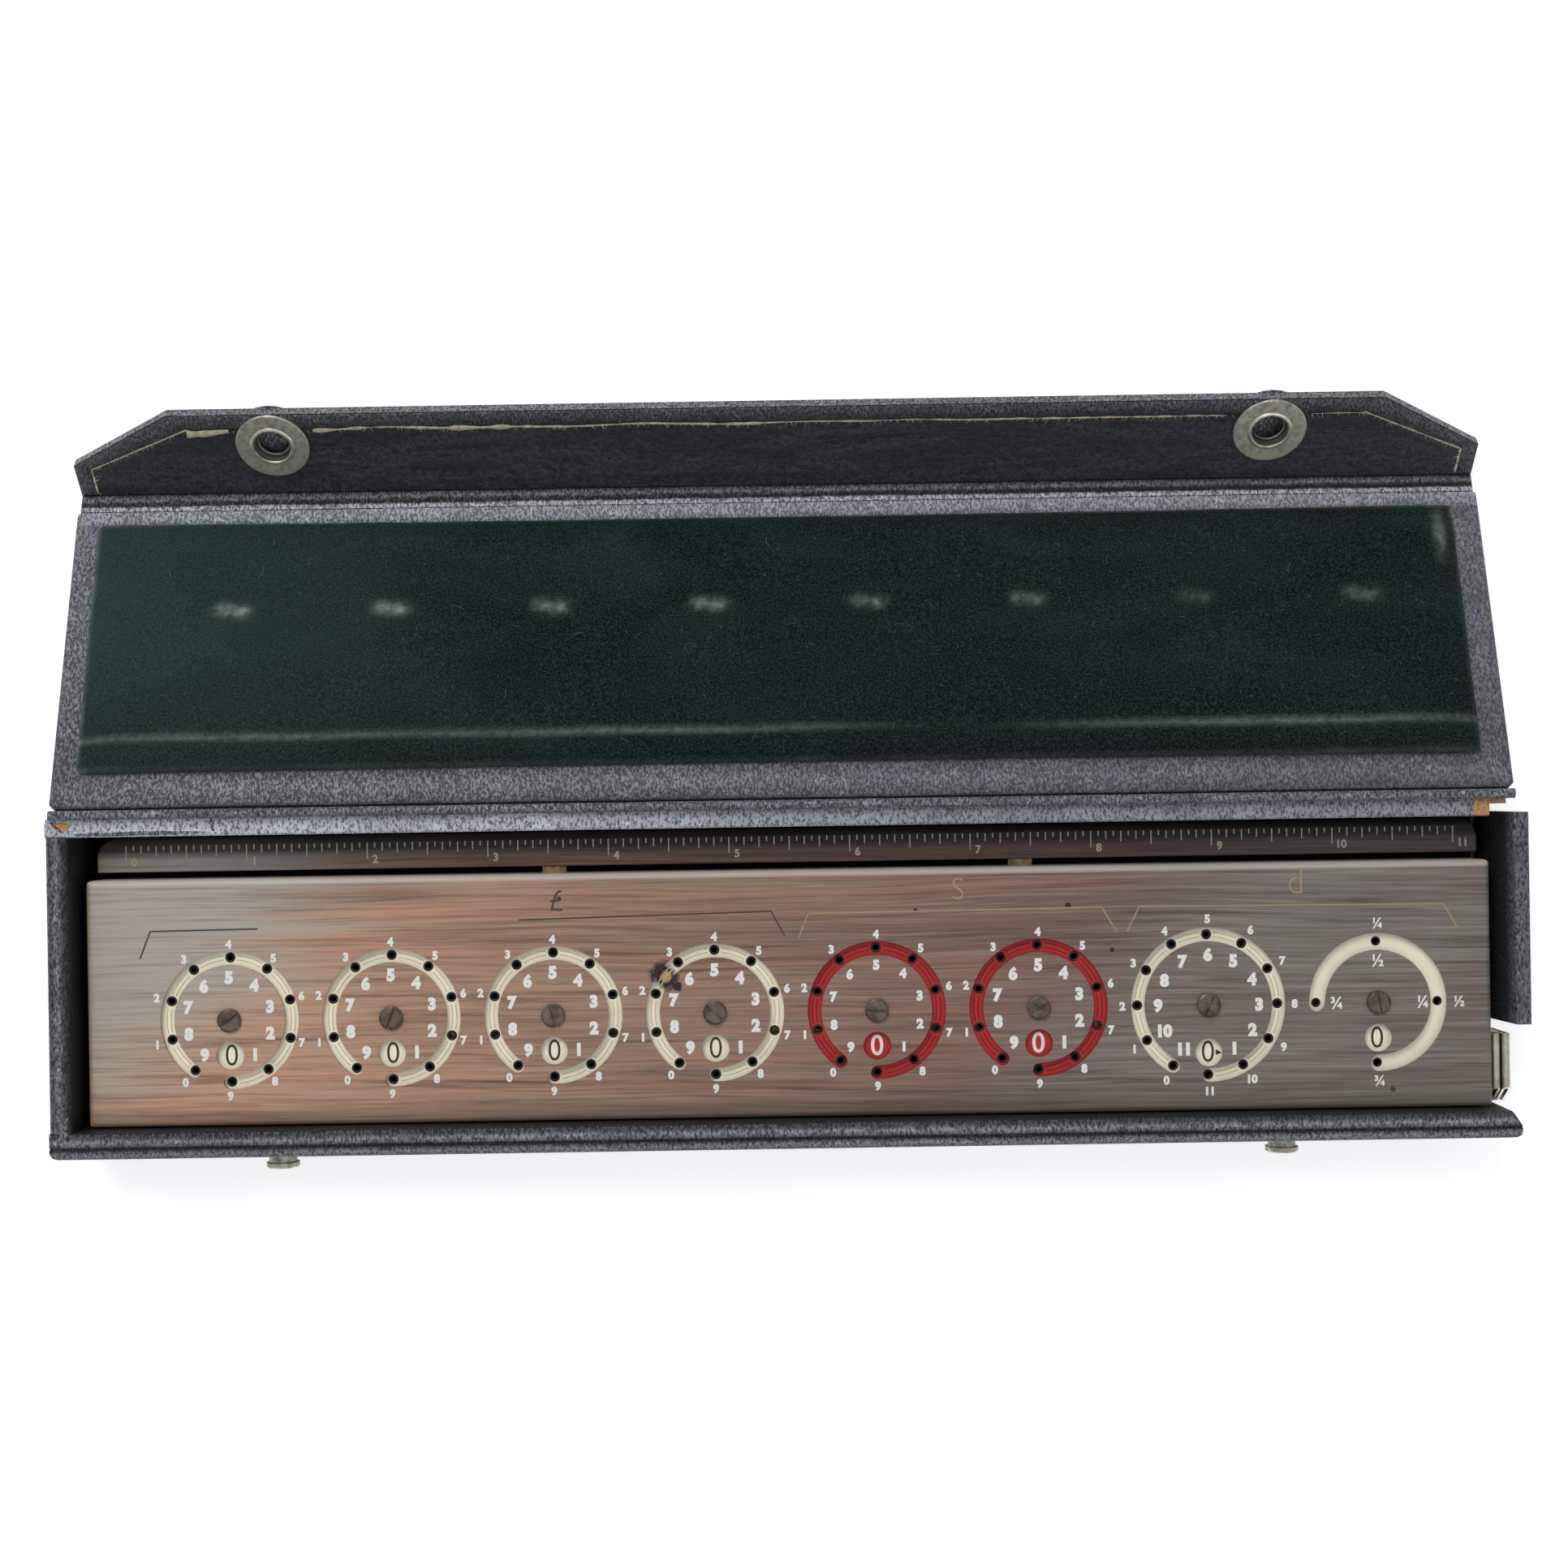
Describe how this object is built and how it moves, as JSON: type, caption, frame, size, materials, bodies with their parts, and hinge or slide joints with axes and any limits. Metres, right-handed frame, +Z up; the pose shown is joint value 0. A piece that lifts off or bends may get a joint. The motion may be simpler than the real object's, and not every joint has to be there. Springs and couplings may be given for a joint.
{
  "type": "stylus dial adder in case",
  "caption": "Stylus-worked dial adding machine for sterling sums in a hinged leatherette case with padded velvet lid, snap flap, ruler ledge and clearing pull.",
  "frame": {"origin": "centre of the tray's underside, on the table", "axes": "+X to the right along the row of dials, +Y from the front wall towards the opened lid, +Z up"},
  "size_m": [0.3052, 0.16, 0.0261],
  "materials": {
    "leatherette": "pebbled satin",
    "lining": "matte",
    "velvet": "pile",
    "nickel": "aged nickel plate",
    "steel": "satin",
    "brass": "satin",
    "bronze": "dark satin",
    "printed_metal": "printed wood grain, gloss",
    "cream_enamel": "gloss",
    "red_enamel": "gloss"
  },
  "bodies": {
    "case": {"case_bottom_board": "leatherette", "case_front_wall": "leatherette", "case_rear_wall": "leatherette", "case_left_wall": "leatherette", "tray_lining": "lining", "rear_hinge_cloth": "leatherette", "end_hinge_cloth": "leatherette", "snap_studs": "nickel", "stud_rivets": "nickel"},
    "lid": {"lid_board": "leatherette", "lid_pad": "velvet", "flap_hinge_cloth": "leatherette"},
    "flap": {"flap_board": "leatherette", "snap_sockets": "nickel", "socket_springs": "steel", "snap_caps": "leatherette"},
    "end_wall": {"right_end_wall": "leatherette"},
    "adder": {"face_plate": "printed_metal", "base_plate": "steel", "ruler_ledge": "printed_metal", "ledge_front_skirt": "printed_metal", "ledge_rear_skirt": "printed_metal", "ledge_ends": "printed_metal", "ruler_lugs": "brass", "wheel_screws": "bronze", "pivot_posts": "steel", "pinion_pins": "steel", "pinion_clips": "steel", "detent_springs": "steel", "spring_posts": "steel", "bar_guides": "steel"},
    "clearing_bar": {"clear_bar": "steel", "bar_arm": "steel", "bar_tail": "steel", "clear_pull": "nickel", "pull_rivets": "nickel"},
    "dial_1": {"number_wheel_1": "cream_enamel", "gear_wheel_1": "brass"},
    "dial_2": {"number_wheel_2": "cream_enamel", "gear_wheel_2": "brass"},
    "dial_3": {"number_wheel_3": "cream_enamel", "gear_wheel_3": "brass"},
    "dial_4": {"number_wheel_4": "cream_enamel", "gear_wheel_4": "brass"},
    "dial_5": {"number_wheel_5": "red_enamel", "gear_wheel_5": "brass"},
    "dial_6": {"number_wheel_6": "red_enamel", "gear_wheel_6": "brass"},
    "dial_7": {"number_wheel_7": "cream_enamel", "gear_wheel_7": "brass"},
    "dial_8": {"number_wheel_8": "cream_enamel", "gear_wheel_8": "brass"},
    "pinion_1": {"carry_pinion_1": "brass"},
    "pinion_2": {"carry_pinion_2": "brass"},
    "pinion_3": {"carry_pinion_3": "brass"},
    "pinion_4": {"carry_pinion_4": "brass"},
    "pinion_5": {"carry_pinion_5": "brass"},
    "pinion_6": {"carry_pinion_6": "brass"},
    "pinion_7": {"carry_pinion_7": "brass"}
  },
  "joints": [
    {"name": "lid_hinge", "type": "hinge", "parent": "case", "child": "lid", "pos_m": [0, 0.0356, 0.0251], "axis": [-1, 0, 0], "range_deg": [-199.08, 0]},
    {"name": "flap_hinge", "type": "hinge", "parent": "lid", "child": "flap", "pos_m": [0, 0.10403, 0.00144], "axis": [-1, 0, 0], "range_deg": [-25.92, 28]},
    {"name": "end_wall_hinge", "type": "hinge", "parent": "case", "child": "end_wall", "pos_m": [0.1513, 0.00985, 0.0032], "axis": [0, 1, 0], "range_deg": [-6.5, 83.5]},
    {"name": "adder_lift", "type": "slide", "parent": "case", "child": "adder", "axis": [0, 0, 1], "range_m": [0, 0.03]},
    {"name": "clear_slide", "type": "slide", "parent": "adder", "child": "clearing_bar", "axis": [1, 0, 0], "range_m": [0, 0.005]},
    {"name": "dial_1_turn", "type": "hinge", "parent": "adder", "child": "dial_1", "pos_m": [-0.1154, -0.0075, 0.012], "axis": [0, 0, 1], "continuous": true, "deforming": ["detent_springs"]},
    {"name": "dial_2_turn", "type": "hinge", "parent": "adder", "child": "dial_2", "pos_m": [-0.08176, -0.0075, 0.012], "axis": [0, 0, 1], "continuous": true, "deforming": ["detent_springs"]},
    {"name": "dial_3_turn", "type": "hinge", "parent": "adder", "child": "dial_3", "pos_m": [-0.04812, -0.0075, 0.012], "axis": [0, 0, 1], "continuous": true, "deforming": ["detent_springs"]},
    {"name": "dial_4_turn", "type": "hinge", "parent": "adder", "child": "dial_4", "pos_m": [-0.01448, -0.0075, 0.012], "axis": [0, 0, 1], "continuous": true, "deforming": ["detent_springs"]},
    {"name": "dial_5_turn", "type": "hinge", "parent": "adder", "child": "dial_5", "pos_m": [0.01916, -0.0075, 0.012], "axis": [0, 0, 1], "continuous": true, "deforming": ["detent_springs"]},
    {"name": "dial_6_turn", "type": "hinge", "parent": "adder", "child": "dial_6", "pos_m": [0.0528, -0.0075, 0.012], "axis": [0, 0, 1], "continuous": true, "deforming": ["detent_springs"]},
    {"name": "dial_7_turn", "type": "hinge", "parent": "adder", "child": "dial_7", "pos_m": [0.0881, -0.0075, 0.012], "axis": [0, 0, 1], "continuous": true, "deforming": ["detent_springs"]},
    {"name": "dial_8_turn", "type": "hinge", "parent": "adder", "child": "dial_8", "pos_m": [0.1234, -0.0075, 0.012], "axis": [0, 0, 1], "continuous": true, "deforming": ["detent_springs"]},
    {"name": "pinion_1_turn", "type": "hinge", "parent": "adder", "child": "pinion_1", "pos_m": [-0.1006, -0.01358, 0.011], "axis": [0, 0, 1], "continuous": true},
    {"name": "pinion_2_turn", "type": "hinge", "parent": "adder", "child": "pinion_2", "pos_m": [-0.06696, -0.01358, 0.011], "axis": [0, 0, 1], "continuous": true},
    {"name": "pinion_3_turn", "type": "hinge", "parent": "adder", "child": "pinion_3", "pos_m": [-0.03332, -0.01358, 0.011], "axis": [0, 0, 1], "continuous": true},
    {"name": "pinion_4_turn", "type": "hinge", "parent": "adder", "child": "pinion_4", "pos_m": [0.00032, -0.01358, 0.011], "axis": [0, 0, 1], "continuous": true},
    {"name": "pinion_5_turn", "type": "hinge", "parent": "adder", "child": "pinion_5", "pos_m": [0.03396, -0.01358, 0.011], "axis": [0, 0, 1], "continuous": true},
    {"name": "pinion_6_turn", "type": "hinge", "parent": "adder", "child": "pinion_6", "pos_m": [0.06735, -0.01417, 0.011], "axis": [0, 0, 1], "continuous": true},
    {"name": "pinion_7_turn", "type": "hinge", "parent": "adder", "child": "pinion_7", "pos_m": [0.10585, -0.01048, 0.011], "axis": [0, 0, 1], "continuous": true}
  ],
  "couplings": [
    {"joint": "pinion_1_turn", "follows": "dial_1_turn", "ratio": -1.6667},
    {"joint": "pinion_2_turn", "follows": "dial_2_turn", "ratio": -1.6667},
    {"joint": "pinion_3_turn", "follows": "dial_3_turn", "ratio": -1.6667},
    {"joint": "pinion_4_turn", "follows": "dial_4_turn", "ratio": -1.6667},
    {"joint": "pinion_5_turn", "follows": "dial_5_turn", "ratio": -1.6667},
    {"joint": "pinion_6_turn", "follows": "dial_6_turn", "ratio": -1.6667},
    {"joint": "pinion_7_turn", "follows": "dial_7_turn", "ratio": -2}
  ]
}
